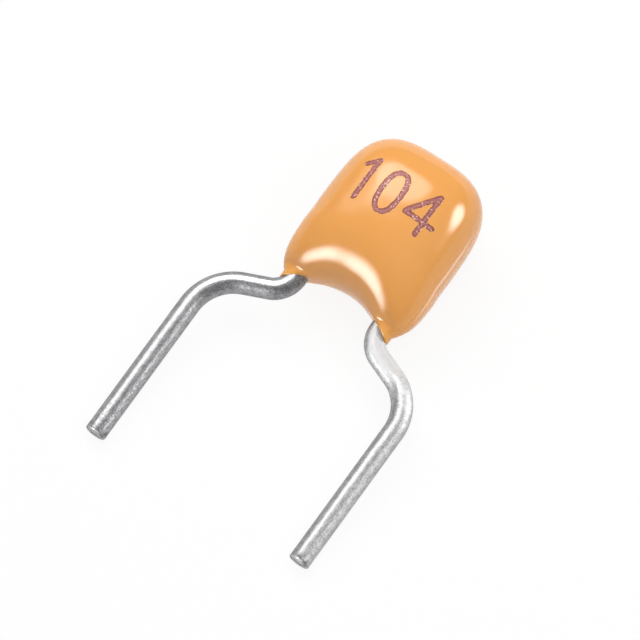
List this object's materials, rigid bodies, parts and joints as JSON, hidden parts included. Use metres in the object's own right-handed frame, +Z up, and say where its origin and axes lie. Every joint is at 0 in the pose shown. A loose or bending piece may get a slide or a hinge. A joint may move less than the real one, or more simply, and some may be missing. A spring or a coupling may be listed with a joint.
{
  "type": "multilayer ceramic capacitor",
  "caption": "Small dipped ceramic capacitor: a glossy orange rounded-square pillow on cranked tinned wire leads that solder into a circuit board.",
  "frame": {"origin": "Middle of the footprint on the surface that the part lies on, with the back of its coat and both lead ends touching that surface.", "axes": "+X across the leads towards the right lead, as seen from above with the leads pointing at the viewer; +Y from the lead ends to the crown of the coat; +Z up, out of the face that carries the value mark, which leans forward by the 8 degrees at which the part lies."},
  "size_m": [0.0056, 0.0088, 0.0024],
  "materials": {
    "epoxy": "dipped orange epoxy resin, glossy and slightly uneven",
    "tinned_wire": "tinned drawn wire, satin with fine streaks along it",
    "solder": "tin solder, satin grey",
    "termination_metal": "fired metal end cap with a tin plating",
    "ceramic": "fired matt ceramic, brownish beige",
    "electrode_metal": "fired nickel, dull grey"
  },
  "bodies": {
    "root": {"epoxy_coat": "epoxy", "left_lead": "tinned_wire", "right_lead": "tinned_wire", "left_solder": "solder", "right_solder": "solder", "left_termination": "termination_metal", "right_termination": "termination_metal", "ceramic_chip": "ceramic", "left_electrodes": "electrode_metal", "right_electrodes": "electrode_metal"}
  },
  "joints": []
}
